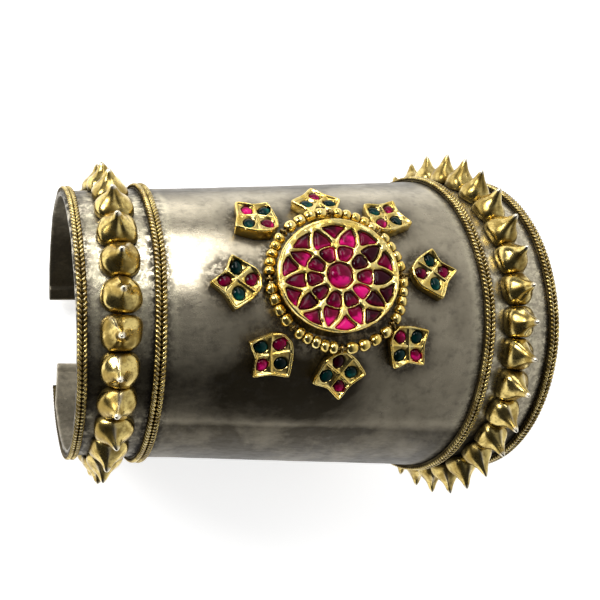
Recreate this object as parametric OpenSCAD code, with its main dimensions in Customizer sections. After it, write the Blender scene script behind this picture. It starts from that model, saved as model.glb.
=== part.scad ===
// A rigid open forearm cuff of silver sheet with gilt braids and thorn studs,
// and a stone-set gold medallion with eight petals on its front. Millimetres.
// It lies on its gap side, on four studs, with the wrist end at -X and the
// forearm end at +X. "at" is a distance along the cuff from the wrist rim and
// "ang" an angle round its axis, from the top towards +Y.

/* [Sheet] */
// Length from the wrist rim to the forearm rim
cuff_len = 105; // [100:0.5:112]
// Outer radius at the wrist rim
wrist_r = 27.8; // [27:0.1:29]
// Outer radius where the cone ends
shoulder_r = 36.2; // [35:0.1:37]
// Distance from the wrist rim to the end of the cone
shoulder_at = 86; // [82:0.5:90]
// Outer radius at the forearm rim
forearm_r = 36.5; // [35.5:0.1:37.5]
// Thickness of the silver
sheet_t = 1.05; // [0.8:0.05:1.4]
// How far the wrist rim is cut back at the top
rim_back = 1.1; // [1.1:0.05:1.4]
// Lean of the wrist rim, further back on the near side
rim_lean = 2.1; // [0:0.1:2.1]
// How far the near flap's wrist corner is cut back
corner_back = 2.7; // [2.5:0.1:3]
// Lean of that corner's cut
corner_lean = 8.5; // [7:0.5:10]

/* [Gap at the back] */
// Angle from the top to the edge of the far flap
far_edge = 165.3; // [163:0.1:168]
// Angle from the top to the edge of the near flap
near_edge = 160.5; // [160:0.1:166]
// Angle that the far flap's folded hem covers
far_hem = 6.5; // [4:0.5:9]
// Angle that the near flap's folded hem covers
near_hem = 3.5; // [2:0.5:6]
// Thickness that a folded hem adds on the inside
hem_t = 0.85; // [0.5:0.05:1.2]

/* [Braids] */
// Place of the braid at the wrist rim
wrist_edge_at = 2.2; // [2.1:0.1:2.3]
// Lean of that braid
wrist_edge_lean = 1.6; // [0:0.1:2]
// Angle by which it stops short of the near flap's corner
wrist_edge_short = 10; // [8:1:16]
// Place of the braid inside the wrist studs
wrist_inner_at = 16.3; // [15.2:0.1:18]
// Place of the braid inside the forearm studs
forearm_inner_at = 85.5; // [80:0.1:86]
// Place of the braid near the forearm rim
forearm_edge_at = 102.6; // [101:0.1:103]
// Thickness of each of the two ropes in a braid
rope_d = 1.2; // [0.9:0.05:1.3]
// Thickness of the finer ropes at the wrist rim
fine_rope_d = 0.95; // [0.85:0.05:1]

/* [Thorn studs] */
// Place of the wrist row
wrist_row_at = 9.1; // [8.5:0.1:9.6]
// Number of studs in the wrist row
wrist_count = 24; // [20:1:24]
// Angle from one wrist stud to the next
wrist_step = 13.3; // [13:0.1:13.5]
// Height of a wrist stud
wrist_stud_h = 6; // [5:0.1:7]
// Place of the forearm row
forearm_row_at = 92.7; // [91.5:0.1:94]
// Number of studs in the forearm row
forearm_count = 29; // [25:2:29]
// Angle from one forearm stud to the next
forearm_step = 10.8; // [10.7:0.1:11]
// Height of a forearm stud
forearm_stud_h = 7.5; // [6.5:0.1:8]
// Angle by which the middle of the forearm row has drifted to the near side
forearm_drift = 2.5; // [0:0.1:2.5]
// Radius of a stud's foot
stud_r = 3.25; // [3:0.05:3.25]

/* [Medallion] */
// Place of its middle along the cuff
medal_at = 51.3; // [51:0.1:51.6]
// Angle of its middle round the cuff
medal_ang = 11.9; // [11.5:0.1:12.3]
// Radius of the ring of beads
bead_ring_r = 14.25; // [14.2:0.05:14.3]
// Half of the length of the oval top
medal_r = 12.95; // [12.8:0.05:13]
// Width of the oval top as a share of its length
medal_squeeze = 0.907; // [0.9:0.001:0.95]
// Turn of the oval's long line
medal_turn = 14; // [0:1:20]
// Height of the flat top above the sheet
medal_h = 4.3; // [4.2:0.1:5]
// How far the tracery sits below the middle of the oval
tracery_drop = 0.55; // [0:0.05:0.55]

/* [Petals] */
// Height of a petal's box
petal_h = 2.4; // [2:0.1:2.4]

/* [Hidden] */

silver = "#96918a";
gilt = "#b0914a";
gold = "#d9a834";
ruby = "#a8154f";
emerald = "#0f4b45";

clear = 0.1;          // room between one piece and the next
strip_t = 0.45;       // thickness of the strip under a row of studs
strip_w = 7;
arc = far_edge + near_edge;
$fn = 64;

// One row for each ring of a stud's outline: share of its radius, share of its height
STUD = [[0, 0.06], [1, 0.06], [1, 0.16], [0.93, 0.27], [0.76, 0.38], [0.52, 0.5], [0.35, 0.64],
        [0.24, 0.8], [0.17, 0.94], [0.1, 1], [0, 1]];
tip_r = stud_r * 0.1;

medal_shift = [-0.6, 0.15];    // from the middle of the ring of beads to the middle of the oval
// Tracery cells, one row for each corner: distance from the middle, angle from the cell's own line
INNER_CELL = [[3.7, -9], [5.4, -13], [6.6, -10], [6.85, 0], [6.6, 10], [5.4, 13], [3.7, 9], [3.6, 0]];
MIDDLE_CELL = [[7.5, -10], [9.2, -8.5], [10.5, -3.7], [11.4, 0], [10.5, 3.7], [9.2, 8.5], [7.5, 10],
               [7.45, 0]];
RIM_CELL = [[8.8, 0], [9.5, -3], [10.6, -7.3], [11.6, -11], [11.8, 0], [11.6, 11], [10.6, 7.3], [9.5, 3]];
// Angles of the tracery's spokes, set by hand and so a little uneven
SPOKES = [17, 54, 93, 132, 167, 201, 235, 271, 304, 338];
cells = len(SPOKES);
cell_depth = 1.3;
cabochon_r = 2.45;
cabochon_rise = 1.1;

// One row for each petal: place along the cuff, angle round it, turn of the petal's line
PETALS = [[72.3, 13.8, 3.9], [65.2, 36.7, 54.5], [51.2, 44.1, 91.5], [36.7, 37.4, 131.7],
          [30.6, 11.6, 181.8], [37, -13.8, 232.2], [51.4, -20.3, 279.6], [65.9, -10.7, 316.6]];
// Half of a petal's outline and of its stones, one row for each corner: outwards, sideways
PETAL_HALF = [[5.6, 0], [2.6, 2.3], [0.95, 5.8], [-2.7, 3.7], [-4.5, 1.8], [-4.95, 0.7]];
STONE_IN = [[-4.4, -0.5], [-3.8, -1.3], [-2.9, -1.6], [-1.9, -1.1], [-1.1, 0], [-1.9, 1.1], [-2.9, 1.6],
            [-3.8, 1.3], [-4.4, 0.5]];
STONE_OUT = [[1, 0], [1.8, -1.05], [2.6, -1.25], [3.5, -0.85], [4.1, 0], [3.5, 0.85], [2.6, 1.25],
             [1.8, 1.05]];
side_shift = 0.1;     // how far the two emeralds sit from the medallion's side
pocket_room = 0.12;   // room between a stone and the wall of its pocket

bead_z = 1.25;        // height of the ring of beads over the sheet at the medallion's middle
wire_r = 0.3;
bead_hole_r = 0.45;    // the wire bends a little on its way through a bead
link_r = 0.65;
link_wire_r = 0.25;
link_h = 1.1;         // height of a link's outer end over the sheet
link_gap = 0.3;       // room between a link and its petal

// The cuff's own shape
function surf_r(at) = at < shoulder_at
    ? wrist_r + (shoulder_r - wrist_r) * at / shoulder_at
    : shoulder_r + (forearm_r - shoulder_r) * (at - shoulder_at) / (cuff_len - shoulder_at);
function slope(at) = at < shoulder_at
    ? atan((shoulder_r - wrist_r) / shoulder_at)
    : atan((forearm_r - shoulder_r) / (cuff_len - shoulder_at));

// How the cuff rests: the last stud at each end of both rows touches the ground
function tip_at(at, h) = at - h * sin(slope(at));
function tip_depth(at, h, half_arc) =
    -(surf_r(at) + h * cos(slope(at))) * cos(half_arc) + tip_r * sin(half_arc);
wrist_half = wrist_step * (wrist_count - 1) / 2;
forearm_half = forearm_step * (forearm_count - 1) / 2;
wrist_depth = tip_depth(wrist_row_at, wrist_stud_h, wrist_half);
forearm_depth = tip_depth(forearm_row_at, forearm_stud_h, forearm_half);
wrist_x = tip_at(wrist_row_at, wrist_stud_h) - cuff_len / 2;
forearm_x = tip_at(forearm_row_at, forearm_stud_h) - cuff_len / 2;
tilt = atan((forearm_depth - wrist_depth) / (forearm_x - wrist_x));
axis_h = wrist_depth * cos(tilt) - wrist_x * sin(tilt);

// The two ends of the tilted cuff, to put its middle over the origin
wrist_end_x = (rim_back - cuff_len / 2) * cos(tilt)
    - surf_r(rim_back) * norm([tan(rim_lean) * cos(tilt), sin(tilt)]);
forearm_end_x = cuff_len / 2 * cos(tilt) - forearm_r * cos(far_edge) * sin(tilt);
shift_x = -(wrist_end_x + forearm_end_x) / 2;

module at_rest() {
    translate([shift_x, 0, axis_h]) rotate([0, -tilt, 0]) children();
}

// Puts a child on the sheet: +Z away from it, +X towards the forearm, +Y round the cuff
module on_cuff(at, ang) {
    at_rest() rotate([-ang, 0, 0]) translate([at - cuff_len / 2, 0, surf_r(at)])
        rotate([0, -slope(at), 0]) children();
}

// Turns a profile round the axis, from the angle "from" over "sweep": x outwards, y along the cuff
module round_axis(from, sweep) {
    translate([-cuff_len / 2, 0, 0]) rotate([180, 0, 0]) rotate([0, 90, 0])
        rotate([0, 0, -from - sweep]) rotate_extrude(angle = sweep, $fn = 180) children();
}

module round_cuff(from, sweep) {
    at_rest() round_axis(from, sweep) children();
}

// Leans what runs round the cuff at one place, and moves it sideways so that it stays on the cone
module leaning(at, lean) {
    side = surf_r(at) * tan(lean) * tan(slope(at));
    place = at - cuff_len / 2;
    at_rest() translate([place, -side, 0]) rotate([0, 0, lean]) translate([-place, 0, 0]) children();
}

module on_profile(at) {
    translate([surf_r(at), at]) rotate(-slope(at)) children();
}

// Everything inside the sheet's outer face, and a little more
module under_sheet() {
    round_cuff(0, 360) polygon([[0, 0], [wrist_r + clear, 0], [shoulder_r + clear, shoulder_at],
        [forearm_r + clear, cuff_len], [0, cuff_len]]);
}

// The sheet's section between two depths below its outer face, drawn "over" past both rims
module wall(outer_depth, inner_depth, over = 0) {
    PLACES = [-over, shoulder_at, cuff_len + over];
    polygon(concat([for (at = PLACES) [surf_r(at) - inner_depth, at]],
        [for (i = [2:-1:0]) [surf_r(PLACES[i]) - outer_depth, PLACES[i]]]));
}

// What is cut away at the wrist rim, and at the near flap's corner there
module rim_cuts() at_rest() {
    deep = 10;
    wide = 2 * shoulder_r;
    translate([rim_back - cuff_len / 2, 0, 0]) rotate([0, 0, rim_lean]) translate([-deep, -wide / 2, -wide / 2])
        cube([deep, wide, wide]);
    translate([corner_back - cuff_len / 2, 0, wrist_r * cos(near_edge)]) rotate([0, -corner_lean, 0])
        translate([-deep, -wide / 2, -wide / 2]) cube([deep, wide / 2, wide]);
}

// A sheet as thick as its folded hems, thinned from the inside between them
module cuff_sheet() color(silver) {
    folded = sheet_t + hem_t;
    difference() {
        round_cuff(-near_edge, arc) wall(0, folded);
        round_cuff(-near_edge + near_hem, arc - near_hem - far_hem) wall(sheet_t, folded + 1, 1);
        rim_cuts();
    }
}

// Two ropes side by side on a narrow strip, a little further off the sheet where they lean
module braid(at, rope = rope_d, lean = 0, short = 0) color(gilt) {
    rope_r = rope / 2;
    room = clear + lean * 0.03;
    leaning(at, lean) round_axis(-near_edge + short, arc - short) on_profile(at) {
        for (side = [-1, 1]) translate([room + rope_r, side * rope_r * 0.97]) circle(r = rope_r, $fn = 24);
        translate([room, -rope * 0.9]) square([rope_r * 0.9, rope * 1.8]);
    }
}

module stud(r, h) {
    rotate_extrude($fn = 32) polygon([for (row = STUD) [row[0] * r, row[1] * h]]);
}

// A row's two end studs stand alike on both sides; between them it may drift to the near side
module stud_row(at, count, step, h, drift = 0) color(gilt) {
    half = step * (count - 1) / 2;
    strip_end = half + 4;
    round_cuff(-strip_end, 2 * strip_end) on_profile(at)
        translate([clear, -strip_w / 2]) square([strip_t, strip_w]);
    for (i = [0:count - 1]) {
        even = -half + i * step;
        on_cuff(at, even - drift * min(1, 2 - 2 * abs(even) / half)) stud(stud_r, h);
    }
}

// A cut stone: straight girdle, two rows of facets and a flat table, the foot and the table in
// triangles round the middle, as a rim stone's sides are hollow
module cut_stone(outline, bottom, top) {
    n = len(outline);
    mid = [for (axis = [0, 1]) [for (p = outline) p[axis]] * [for (p = outline) 1] / n];
    high = top - bottom;
    LEVELS = [[1, 0], [1, 0.55], [0.84, 0.85], [0.55, 1]];
    rings = [for (level = LEVELS, p = outline)
        [mid[0] + (p[0] - mid[0]) * level[0], mid[1] + (p[1] - mid[1]) * level[0],
         bottom + high * level[1]]];
    last = len(LEVELS) - 1;
    centre = len(rings);
    faces = concat([for (i = [0:n - 1]) [centre, i, (i + 1) % n]],
        [for (i = [0:n - 1]) [centre + 1, last * n + (i + 1) % n, last * n + i]],
        [for (j = [0:last - 1], i = [0:n - 1])
            [j * n + i, (j + 1) * n + i, (j + 1) * n + (i + 1) % n, j * n + (i + 1) % n]]);
    polyhedron(concat(rings, [[mid[0], mid[1], bottom], [mid[0], mid[1], top]]), faces);
}

// An anticlockwise outline with its sides moved outwards
function widened(outline, room) = let (n = len(outline)) [for (i = [0:n - 1])
    let (p = outline[i],
        from = (p - outline[(i + n - 1) % n]) / norm(p - outline[(i + n - 1) % n]),
        to = (outline[(i + 1) % n] - p) / norm(outline[(i + 1) % n] - p),
        out = [from[1] + to[1], -from[0] - to[0]])
    p + out * 2 * room / (out * out)];

module pocket(outline, bottom, top) {
    translate([0, 0, bottom]) linear_extrude(top - bottom) polygon(widened(outline, pocket_room));
}

// A point of the round design on the oval top: pressed together across the oval's long line
function on_oval(p) =
    let (line = [cos(medal_turn), sin(medal_turn)], across = [-line[1], line[0]])
    medal_shift + line * (p * line) + across * (p * across) * medal_squeeze;
function oval(r) = [for (i = [0:71]) on_oval(r * [cos(i * 5), sin(i * 5)])];

// Each cell has a row of its own: turn of its line, width as a share of an even cell's
function spoke(i) = SPOKES[(i + cells) % cells] + 360 * floor(i / cells);
function width(i) = (spoke(i + 1) - spoke(i)) * cells / 360;
between_cells = [for (i = [0:cells - 1]) [(spoke(i) + spoke(i + 1)) / 2, width(i)]];
spoke_cells = [for (i = [0:cells - 1]) [spoke(i), (width(i - 1) + width(i)) / 2]];
function cell(rows, place) = [for (row = rows) let (turn = place[0] + row[1] * place[1])
    on_oval([row[0] * cos(turn), row[0] * sin(turn) - tracery_drop])];

module on_medallion() {
    on_cuff(medal_at, medal_ang) children();
}

module on_medallion_centre() {
    on_medallion() translate(on_oval([0, -tracery_drop / 2])) children();
}

// A low oval box: a lip, a groove under it and a lower wall that leaves room for the beads
module medallion_setting() color(gold) {
    lip_h = 0.9;
    groove_in = 0.2;
    wall_in = 0.6;
    wall_top = medal_h - 1.4;
    skirt = 3.5;
    floor_z = medal_h - cell_depth;
    difference() {
        on_medallion() difference() {
            union() {
                translate([0, 0, -skirt]) linear_extrude(skirt + wall_top + 0.1) polygon(oval(medal_r - wall_in));
                translate([0, 0, wall_top]) linear_extrude(medal_h - wall_top) polygon(oval(medal_r - groove_in));
                translate([0, 0, medal_h - lip_h]) linear_extrude(lip_h) polygon(oval(medal_r));
            }
            for (place = between_cells) {
                pocket(cell(INNER_CELL, place), floor_z, medal_h + 1);
                pocket(cell(MIDDLE_CELL, place), floor_z, medal_h + 1);
            }
            for (place = spoke_cells) pocket(cell(RIM_CELL, place), floor_z, medal_h + 1);
        }
        on_medallion_centre() translate([0, 0, floor_z]) cylinder(r = cabochon_r + clear, h = cell_depth + 1);
        under_sheet();
    }
}

// A round stone with a low dome
module centre_ruby() color(ruby) on_medallion_centre() {
    foot = medal_h - cell_depth + clear;
    straight = cell_depth - 0.1;
    dome_r = (cabochon_r * cabochon_r + cabochon_rise * cabochon_rise) / (2 * cabochon_rise);
    intersection() {
        translate([0, 0, foot]) cylinder(r = cabochon_r, h = straight + cabochon_rise + 1);
        translate([0, 0, foot + straight + cabochon_rise - dome_r]) sphere(r = dome_r);
    }
}

module disc_stones(rows, places) color(ruby) on_medallion() {
    for (place = places) cut_stone(cell(rows, place), medal_h - cell_depth + clear, medal_h);
}

// A point on a petal's line, "out" from its middle and "up" from the sheet, as seen from the medallion
function from_medallion(petal, out, up) =
    let (lean = slope(medal_at),
        round = petal[1] - medal_ang,
        x = out * cos(petal[2]) * cos(lean) - up * sin(lean) + petal[0] - medal_at,
        y = out * sin(petal[2]),
        z = out * cos(petal[2]) * sin(lean) + up * cos(lean) + surf_r(petal[0]),
        side = y * cos(round) + z * sin(round),
        rise = z * cos(round) - y * sin(round) - surf_r(medal_at))
    [x * cos(lean) + rise * sin(lean), side, rise * cos(lean) - x * sin(lean)];
petal_inner_end = PETAL_HALF[len(PETAL_HALF) - 1][0];
function link_end(petal) = from_medallion(petal, petal_inner_end - link_gap - link_wire_r - link_r, link_h);
function link_turn(i) =
    let (end = from_medallion(PETALS[i % 8], petal_inner_end, link_h)) atan2(end[1], end[0]);

// Beads stand in eight groups of four and five, with a petal's link between the groups
GROUPS = [4, 5, 4, 5, 4, 5, 4, 5];
link_room = 1.5;

module bead_ring() color(gold) on_medallion() {
    for (sector = [0:7]) {
        count = GROUPS[sector];
        sector_arc = (link_turn(sector + 1) - link_turn(sector) + 360) % 360;
        sector_len = bead_ring_r * sector_arc * PI / 180;
        pitch = (sector_len - link_room) / count;
        for (i = [0:count - 1]) {
            turn = link_turn(sector) + (link_room / 2 + (i + 0.5) * pitch) / bead_ring_r * 180 / PI;
            rotate(turn) translate([bead_ring_r, 0, bead_z]) difference() {
                sphere(d = min(pitch - clear - 0.03, 2.2), $fn = 24);
                rotate([90, 0, 0]) cylinder(r = bead_hole_r, h = 4, center = true, $fn = 24);
            }
        }
    }
}

module bead_wire() color(gold) on_medallion() {
    translate([0, 0, bead_z]) rotate_extrude($fn = 96) translate([bead_ring_r, 0]) circle(r = wire_r, $fn = 20);
}

module on_petal(i) {
    petal = PETALS[i - 1];
    on_cuff(petal[0], petal[1]) rotate(petal[2]) children();
}

function turned(rows, turn, shift) =
    [for (p = rows) [p[0] * cos(turn) - p[1] * sin(turn) + shift, p[0] * sin(turn) + p[1] * cos(turn)]];
function petal_stone(name) =
    name == "ruby_in" ? STONE_IN
    : name == "ruby_out" ? STONE_OUT
    : name == "emerald_left" ? turned(STONE_IN, -90, side_shift)
    : turned(STONE_IN, 90, side_shift);
petal_outline = concat(PETAL_HALF, [for (i = [len(PETAL_HALF) - 1:-1:1]) [PETAL_HALF[i][0], -PETAL_HALF[i][1]]]);
petal_stones = ["ruby_in", "ruby_out", "emerald_left", "emerald_right"];
petal_floor = petal_h - 1.2;

module petal_setting(i) color(gold) {
    difference() {
        on_petal(i) difference() {
            translate([0, 0, -1.5]) linear_extrude(1.5 + petal_h) polygon(petal_outline);
            for (name = petal_stones) pocket(petal_stone(name), petal_floor, petal_h + 1);
        }
        under_sheet();
    }
}

module petal_gem(i, name) {
    color(name == "ruby_in" || name == "ruby_out" ? ruby : emerald)
        on_petal(i) cut_stone(petal_stone(name), petal_floor + clear, petal_h);
}

// A long wire loop from the ring of beads down to a petal, or a round one where the petal is close
module petal_link(i) {
    ring_turn = link_turn(i);
    end = link_end(PETALS[i]);
    start = [bead_ring_r * cos(ring_turn), bead_ring_r * sin(ring_turn), bead_z];
    run = end - start;
    is_long = norm([end[0], end[1]]) > bead_ring_r + link_r;
    turn = is_long ? atan2(run[1], run[0]) : ring_turn;
    drop = is_long ? atan2(-run[2], norm([run[0], run[1]])) : 0;
    long = is_long ? norm(run) : 0.1;
    translate(start) rotate([0, drop, turn]) rotate([90, 0, 0]) {
        rotate([0, 0, 90]) rotate_extrude(angle = 180, $fn = 32) translate([link_r, 0])
            circle(r = link_wire_r, $fn = 16);
        translate([long, 0, 0]) rotate([0, 0, -90]) rotate_extrude(angle = 180, $fn = 32)
            translate([link_r, 0]) circle(r = link_wire_r, $fn = 16);
        for (side = [-1, 1]) translate([0, side * link_r, 0]) rotate([0, 90, 0])
            cylinder(r = link_wire_r, h = long, $fn = 16);
    }
}

module petal_links() color(gold) on_medallion() {
    for (i = [0:7]) petal_link(i);
}

cuff_sheet();
braid(wrist_edge_at, fine_rope_d, wrist_edge_lean, wrist_edge_short);  // braid_wrist_edge
braid(wrist_inner_at);  // braid_wrist_inner
braid(forearm_inner_at);  // braid_forearm_inner
braid(forearm_edge_at);  // braid_forearm_edge
stud_row(wrist_row_at, wrist_count, wrist_step, wrist_stud_h);  // studs_wrist
stud_row(forearm_row_at, forearm_count, forearm_step, forearm_stud_h, forearm_drift);  // studs_forearm
medallion_setting();
centre_ruby();
disc_stones(INNER_CELL, between_cells);  // inner_rubies
disc_stones(MIDDLE_CELL, between_cells);  // middle_rubies
disc_stones(RIM_CELL, spoke_cells);  // rim_rubies
bead_ring();
bead_wire();
petal_links();
for (i = [1:8]) {
    petal_setting(i);
    for (name = petal_stones)
        petal_gem(i, name);
}
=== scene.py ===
"""The looks of a tapered silver forearm cuff: braids, thorn studs and a stone-set gold medallion.

Shapes are worked out in millimetres, in the cuff's own axis frame or in the frame of one
ornament, and put in place in metres by a matrix. "at" is a distance along the cuff from the
wrist rim, and "ang" an angle in degrees round its axis, from the top towards +Y.
"""
import math

import bpy
import numpy as np
from mathutils import Matrix, Vector, noise
from mathutils.geometry import delaunay_2d_cdt


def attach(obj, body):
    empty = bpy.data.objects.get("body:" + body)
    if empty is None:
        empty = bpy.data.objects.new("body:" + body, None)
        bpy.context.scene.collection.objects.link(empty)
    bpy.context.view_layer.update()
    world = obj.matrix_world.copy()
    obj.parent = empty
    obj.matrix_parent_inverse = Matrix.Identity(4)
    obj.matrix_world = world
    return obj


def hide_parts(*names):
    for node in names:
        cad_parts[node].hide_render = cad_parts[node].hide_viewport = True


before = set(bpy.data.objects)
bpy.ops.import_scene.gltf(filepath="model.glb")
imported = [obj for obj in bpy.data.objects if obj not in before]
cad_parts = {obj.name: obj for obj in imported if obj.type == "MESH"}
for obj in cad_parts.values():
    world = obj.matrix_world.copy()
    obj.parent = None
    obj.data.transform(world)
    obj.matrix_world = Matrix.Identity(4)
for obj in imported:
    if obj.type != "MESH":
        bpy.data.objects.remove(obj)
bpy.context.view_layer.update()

MM = 0.001
BODY = "root"

# The sheet
CUFF_LEN = 105.0
WRIST_R, SHOULDER_R, FOREARM_R = 27.8, 36.2, 36.5
SHOULDER_AT = 86.0
SHEET_T, HEM_T = 1.05, 0.85
FAR_EDGE, NEAR_EDGE = 165.3, 160.5
FAR_HEM, NEAR_HEM = 6.5, 3.5
# Gap between the sheet and what is soldered to it
CLEAR = 0.1
# The wrist rim is cut back at a lean, and further at the near flap's corner
RIM_BACK, RIM_LEAN = 1.1, 2.1
CORNER_BACK, CORNER_LEAN = 2.7, 8.5
# Nicks of the forearm rim: angle round the cuff, width in degrees, depth
NICKS = ((-51, 1.2, 0.7), (-44, 0.9, 0.4), (33, 1.1, 0.3), (78, 1.6, 0.4))

# Name of a braid's node: place along the cuff, thickness of its ropes, lean, angle it stops short by
BRAIDS = {"braid_wrist_edge": (2.2, 0.95, 1.6, 10.0), "braid_wrist_inner": (16.3, 1.2, 0.0, 0.0),
          "braid_forearm_inner": (85.5, 1.2, 0.0, 0.0), "braid_forearm_edge": (102.6, 1.2, 0.0, 0.0)}
ROPE_LAY = 1.86  # length of one twist
# Name of a row's node: place, number of studs, angle between them, height, angle by which the
# row's middle is shifted round, radius along the cuff
STUD_ROWS = {"studs_wrist": (9.1, 24, 13.3, 6.0, 0.0, 3.7),
             "studs_forearm": (92.7, 29, 10.8, 7.5, 2.5, 3.45)}
# A stud's radius round the cuff, the share of it at the tip, and its foot's height over the sheet
STUD_R, STUD_TIP, STUD_FOOT = 3.25, 0.1, 0.12

# The medallion: a ring of beads round an oval box whose tracery has ten uneven spokes
MEDAL_AT, MEDAL_ANG = 51.3, 11.9
MEDAL_R, MEDAL_SQUEEZE, MEDAL_TURN, MEDAL_H = 12.95, 0.907, 14.0, 4.3
MEDAL_SHIFT = (-0.6, 0.15)
TRACERY_DROP = 0.55
SPOKES = (17, 54, 93, 132, 167, 201, 235, 271, 304, 338)
BEAD_RING_R, BEAD_Z, LINK_ROOM = 14.25, 1.25, 1.5
BEAD_GROUPS = (4, 5, 4, 5, 4, 5, 4, 5)
CABOCHON_R = 2.45

# One row for each petal: place along the cuff, angle round it, turn of the petal's line
PETALS = ((72.3, 13.8, 3.9), (65.2, 36.7, 54.5), (51.2, 44.1, 91.5), (36.7, 37.4, 131.7),
          (30.6, 11.6, 181.8), (37.0, -13.8, 232.2), (51.4, -20.3, 279.6), (65.9, -10.7, 316.6))
# How far each petal's side corners are bent to its left
PETAL_BENDS = (-0.45, -0.6, 0.0, 0.45, 0.3, 0.3, 0.1, 0.0)
PETAL_H = 2.4
PETAL_INNER_END, LINK_H = -4.95, 1.1
# Depth of a stone's cell, under the top of its setting
CELL_DEPTH = 1.1

# The camera, from where the photo was taken: its place along the cuff's axis, out from it at an
# angle, and raised across that
CAMERA_AT, CAMERA_REACH, CAMERA_LIFT, CAMERA_ANG = -14.6, 166.5, 5.46, -4.75
CAMERA_YAW, CAMERA_ROLL = 23.25, 0.82
FOCAL_SHARE = 742 / 600  # focal length over the width of the picture
# Name of a light: its place, what it is turned to, its sides, all in metres, and its power
LIGHTS = {"key": ((-0.03, 0.44, 0.44), (0, 0, 0.05), (0.14, 0.52), 1.0),
          "left": ((-0.47, 0.30, 0.34), (-0.03, 0, 0.03), (0.24, 0.24), 2.4)}
# The direction of the painted light on the stones, towards which they are brighter
STONE_LIGHT = (-0.25, 0.85, 0.45)


def surf_r(at):
    """Radius of the sheet's outer face."""
    cone = WRIST_R + (SHOULDER_R - WRIST_R) * at / SHOULDER_AT
    end = SHOULDER_R + (FOREARM_R - SHOULDER_R) * (at - SHOULDER_AT) / (CUFF_LEN - SHOULDER_AT)
    return np.where(np.asarray(at) < SHOULDER_AT, cone, end)


def slope(at):
    """Angle of the outer face to the axis, in radians."""
    if at < SHOULDER_AT:
        return math.atan((SHOULDER_R - WRIST_R) / SHOULDER_AT)
    return math.atan((FOREARM_R - SHOULDER_R) / (CUFF_LEN - SHOULDER_AT))


def rest_matrix():
    """From the axis frame, in mm, to the cuff as it lies on its last four studs, in metres."""
    tips = []
    for at, count, step, high, *_ in STUD_ROWS.values():
        half = math.radians(step * (count - 1) / 2)
        lean = slope(at)
        reach = float(surf_r(at)) + high * math.cos(lean)
        depth = -reach * math.cos(half) + STUD_TIP * STUD_R * math.sin(half)
        tips.append((at - high * math.sin(lean) - CUFF_LEN / 2, depth))
    (wrist_x, wrist_depth), (forearm_x, forearm_depth) = tips
    tilt = math.atan((forearm_depth - wrist_depth) / (forearm_x - wrist_x))
    axis_h = wrist_depth * math.cos(tilt) - wrist_x * math.sin(tilt)
    rim = math.hypot(math.tan(math.radians(RIM_LEAN)) * math.cos(tilt), math.sin(tilt))
    wrist_end = (RIM_BACK - CUFF_LEN / 2) * math.cos(tilt) - float(surf_r(RIM_BACK)) * rim
    far_z = FOREARM_R * math.cos(math.radians(FAR_EDGE))
    forearm_end = CUFF_LEN / 2 * math.cos(tilt) - far_z * math.sin(tilt)
    shift_x = -(wrist_end + forearm_end) / 2
    return (Matrix.Scale(MM, 4) @ Matrix.Translation((shift_x, 0, axis_h))
            @ Matrix.Rotation(-tilt, 4, "Y"))


REST = rest_matrix()


def on_cuff(at, ang, turn=0.0):
    """A frame on the sheet, in mm: +Z out of it, +X towards the forearm, turned by turn."""
    return (REST @ Matrix.Rotation(math.radians(-ang), 4, "X")
            @ Matrix.Translation((at - CUFF_LEN / 2, 0, float(surf_r(at))))
            @ Matrix.Rotation(-slope(at), 4, "Y") @ Matrix.Rotation(math.radians(turn), 4, "Z"))


def polar(at, ang, r):
    """Points of the axis frame for arrays of places, angles and radii."""
    a = np.radians(ang)
    return np.stack(np.broadcast_arrays(at - CUFF_LEN / 2, r * np.sin(a), r * np.cos(a)), -1)


def leaning(at, lean):
    """Leans what runs round the cuff at one place, and keeps it on the cone."""
    place = at - CUFF_LEN / 2
    side = float(surf_r(at)) * math.tan(math.radians(lean)) * math.tan(slope(at))
    return (Matrix.Translation((place, -side, 0)) @ Matrix.Rotation(math.radians(lean), 4, "Z")
            @ Matrix.Translation((-place, 0, 0)))


def link_turn(number):
    """The angle on the ring of beads at which a petal's link starts."""
    at, ang, turn = PETALS[number % len(PETALS)]
    ring = on_cuff(MEDAL_AT, MEDAL_ANG)
    end = ring.inverted() @ (on_cuff(at, ang, turn) @ Vector((PETAL_INNER_END, 0, LINK_H)))
    return math.degrees(math.atan2(end.y, end.x))


# Mesh helpers

def make_piece(name, points, faces, matrix, material, nodes, values):
    """A mesh piece with its point values, that rides on the cuff in the place of the named nodes."""
    mesh = bpy.data.meshes.new(name)
    mesh.from_pydata(points.tolist(), [], faces)
    for key, numbers in values.items():
        layer = mesh.attributes.new(key, "FLOAT", "POINT")
        layer.data.foreach_set("value", np.asarray(numbers, np.float32))
    mesh.transform(matrix)
    mesh.polygons.foreach_set("use_smooth", [True] * len(mesh.polygons))
    mesh.materials.append(material)
    mesh.update()
    piece = bpy.data.objects.new(name, mesh)
    bpy.context.scene.collection.objects.link(piece)
    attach(piece, BODY)
    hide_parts(*nodes)


class Parts:
    """Collects points, faces and point values of several shells for one mesh."""

    def __init__(self):
        self.points, self.faces, self.values = [], [], {}
        self.count = 0

    def add(self, points, faces, **values):
        self.points.append(points)
        self.faces += [[i + self.count for i in f] for f in faces]
        for key, v in values.items():
            self.values.setdefault(key, []).append(np.broadcast_to(v, len(points)))
        self.count += len(points)

    def done(self):
        return (np.concatenate(self.points), self.faces,
                {k: np.concatenate(v) for k, v in self.values.items()})


def moved(points, matrix):
    """Points through a 4x4 matrix."""
    m = np.array(matrix)
    return points @ m[:3, :3].T + m[:3, 3]


def ring_faces(rows, cols):
    """Quads between rows of cols points each, every row closed into a ring."""
    faces = []
    for i in range(rows - 1):
        for j in range(cols):
            n = (j + 1) % cols
            faces.append((i * cols + j, i * cols + n, (i + 1) * cols + n, (i + 1) * cols + j))
    return faces


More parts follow.
